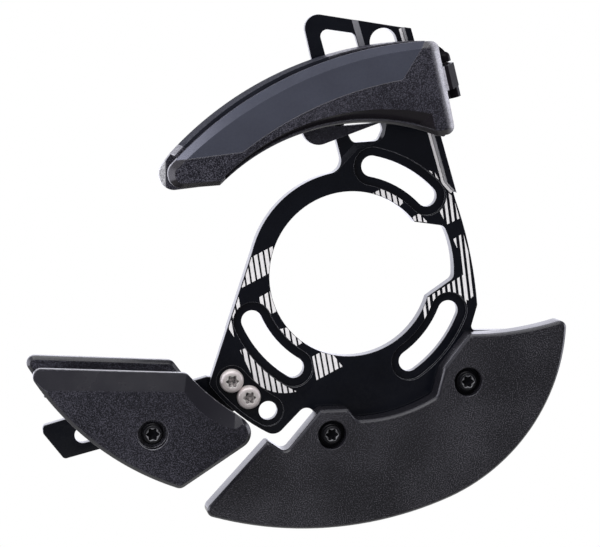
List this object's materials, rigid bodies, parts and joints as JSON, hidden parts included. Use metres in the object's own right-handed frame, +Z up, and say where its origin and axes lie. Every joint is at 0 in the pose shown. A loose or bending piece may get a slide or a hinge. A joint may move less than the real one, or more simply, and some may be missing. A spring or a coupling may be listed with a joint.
{
  "type": "bicycle chain guide",
  "caption": "Bicycle chain guide: slotted backplate with a hinged upper slider, a lower slider on its arm and a bash guard, to keep the chain on a single chainring.",
  "frame": {"origin": "on the crank axis, in the backplate's inboard face that sits on the frame's mounting tabs", "axes": "+X to the front of the bicycle, +Z up, +Y inboard towards the frame, so the outboard side faces -Y"},
  "size_m": [0.1808, 0.0331, 0.1698],
  "materials": {
    "black_anodise": "black anodised, satin gloss, with white striped print on the backplate",
    "speckled_nylon": "charcoal moulded nylon with a fine speckle",
    "soft_panel": "smooth grey soft plastic",
    "plated_steel": "bright plated steel",
    "black_steel": "black oxide steel"
  },
  "bodies": {
    "guide": {"arm_bolts": "plated_steel", "arm_sleeve_nuts": "black_steel", "backplate": "black_anodise", "bash_bolts": "black_steel", "bash_guard": "speckled_nylon", "bash_nuts": "black_steel", "bash_washers": "black_steel", "hinge_pin": "plated_steel", "lower_arm_bracket": "black_anodise", "lower_slider_bolt": "black_steel", "lower_slider_inner": "speckled_nylon", "lower_slider_nut": "black_steel", "lower_slider_outer": "speckled_nylon", "lower_slider_pad": "soft_panel", "lower_slider_washer": "black_steel", "upper_clamp_bolt": "black_steel", "upper_clamp_washer": "black_steel", "upper_roof_pad": "soft_panel", "upper_slider_inner": "speckled_nylon", "upper_slot_nut": "black_anodise"},
    "outer_half": {"upper_slider_outer": "speckled_nylon", "upper_outer_panel": "soft_panel"}
  },
  "joints": [
    {"name": "outer_half_hinge", "type": "hinge", "parent": "guide", "child": "outer_half", "pos_m": [0.0312, -0.011, 0.0645], "axis": [-0.2504, 0, 0.9681], "range_deg": [0, 100]}
  ]
}
